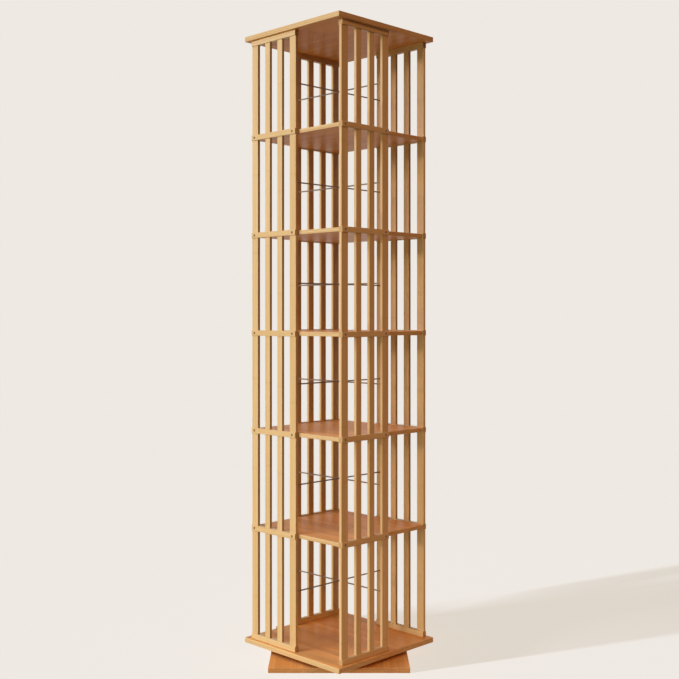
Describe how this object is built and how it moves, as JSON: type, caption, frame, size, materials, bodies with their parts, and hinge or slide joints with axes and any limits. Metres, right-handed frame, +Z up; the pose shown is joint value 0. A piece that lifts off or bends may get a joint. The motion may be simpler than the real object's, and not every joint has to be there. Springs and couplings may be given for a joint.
{
  "type": "rotating shelf",
  "caption": "Tall square rotating bookcase in bamboo: shelves held by slatted pinwheel side frames, steel rod book stops, on a ball turntable over a square base plate.",
  "frame": {"origin": "on the floor under the middle of the base plate, on the axis that the carousel turns about", "axes": "+Z up along the turning axis; the sides of the carousel face +X, -X, +Y and -Y at rest, with the front at -Y; the base plate stands turned 45 degrees to them"},
  "size_m": [0.5644, 0.5644, 1.84],
  "materials": {
    "bamboo_board": "laminated bamboo under satin lacquer",
    "bamboo_strip": "bamboo strip under satin lacquer",
    "steel_rod": "polished drawn wire",
    "zinc_steel": "zinc plated",
    "bearing_steel": "polished",
    "cage_plastic": "moulded nylon"
  },
  "bodies": {
    "base": {"base_plate": "bamboo_board", "turntable_lower": "zinc_steel", "centre_rivet": "zinc_steel", "base_screws": "zinc_steel"},
    "ball_ring": {"bearing_balls": "bearing_steel", "ball_cage": "cage_plastic"},
    "carousel": {"turntable_upper": "zinc_steel", "turntable_screws": "zinc_steel", "bottom_panel": "bamboo_board", "top_panel": "bamboo_board", "shelf_1": "bamboo_board", "shelf_2": "bamboo_board", "shelf_3": "bamboo_board", "shelf_4": "bamboo_board", "shelf_5": "bamboo_board", "front_rails": "bamboo_strip", "right_rails": "bamboo_strip", "back_rails": "bamboo_strip", "left_rails": "bamboo_strip", "front_slats_1": "bamboo_strip", "front_slats_2": "bamboo_strip", "front_slats_3": "bamboo_strip", "front_slats_4": "bamboo_strip", "front_slats_5": "bamboo_strip", "front_slats_6": "bamboo_strip", "right_slats_1": "bamboo_strip", "right_slats_2": "bamboo_strip", "right_slats_3": "bamboo_strip", "right_slats_4": "bamboo_strip", "right_slats_5": "bamboo_strip", "right_slats_6": "bamboo_strip", "back_slats_1": "bamboo_strip", "back_slats_2": "bamboo_strip", "back_slats_3": "bamboo_strip", "back_slats_4": "bamboo_strip", "back_slats_5": "bamboo_strip", "back_slats_6": "bamboo_strip", "left_slats_1": "bamboo_strip", "left_slats_2": "bamboo_strip", "left_slats_3": "bamboo_strip", "left_slats_4": "bamboo_strip", "left_slats_5": "bamboo_strip", "left_slats_6": "bamboo_strip", "book_stop_1": "steel_rod", "book_stop_2": "steel_rod", "book_stop_3": "steel_rod", "book_stop_4": "steel_rod", "book_stop_5": "steel_rod", "book_stop_6": "steel_rod", "rail_screws": "zinc_steel", "top_screws": "zinc_steel", "bottom_screws": "zinc_steel"}
  },
  "joints": [
    {"name": "carousel_spin", "type": "hinge", "parent": "base", "child": "carousel", "pos_m": [0, 0, 0.02], "axis": [0, 0, 1], "continuous": true},
    {"name": "ball_ring_roll", "type": "hinge", "parent": "base", "child": "ball_ring", "pos_m": [0, 0, 0.02], "axis": [0, 0, 1], "continuous": true}
  ],
  "couplings": [
    {"joint": "ball_ring_roll", "follows": "carousel_spin", "ratio": 0.5}
  ]
}
